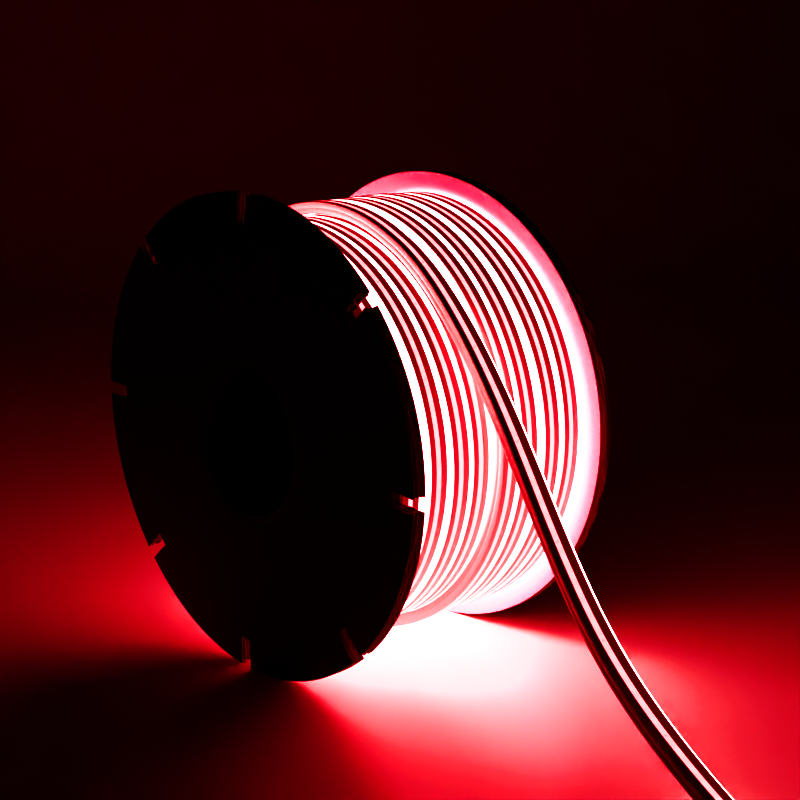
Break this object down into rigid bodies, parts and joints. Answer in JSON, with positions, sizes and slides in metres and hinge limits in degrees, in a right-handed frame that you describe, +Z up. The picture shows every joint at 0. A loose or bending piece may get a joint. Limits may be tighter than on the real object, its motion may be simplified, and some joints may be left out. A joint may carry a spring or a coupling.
{
  "type": "led neon flex reel",
  "caption": "Flat silicone LED neon flex wound on a board tube between two board discs, one of them slotted, with its loose tail led down to the floor and closed by a cap.",
  "frame": {"origin": "on the floor under the middle of the reel, which stands on the rims of its two discs", "axes": "+Z up, Y along the reel's axis with the front disc at -Y, and the loose tail leads away towards +X"},
  "size_m": [0.4817, 0.1362, 0.24],
  "materials": {
    "flange_board": "matte",
    "tube_board": "matte",
    "flex_silicone": "satin",
    "cap_silicone": "satin"
  },
  "bodies": {
    "root": {"front_flange": "flange_board", "back_flange": "flange_board", "core_tube": "tube_board", "winding": "flex_silicone", "flex_tail": "flex_silicone", "end_cap": "cap_silicone"}
  },
  "joints": []
}
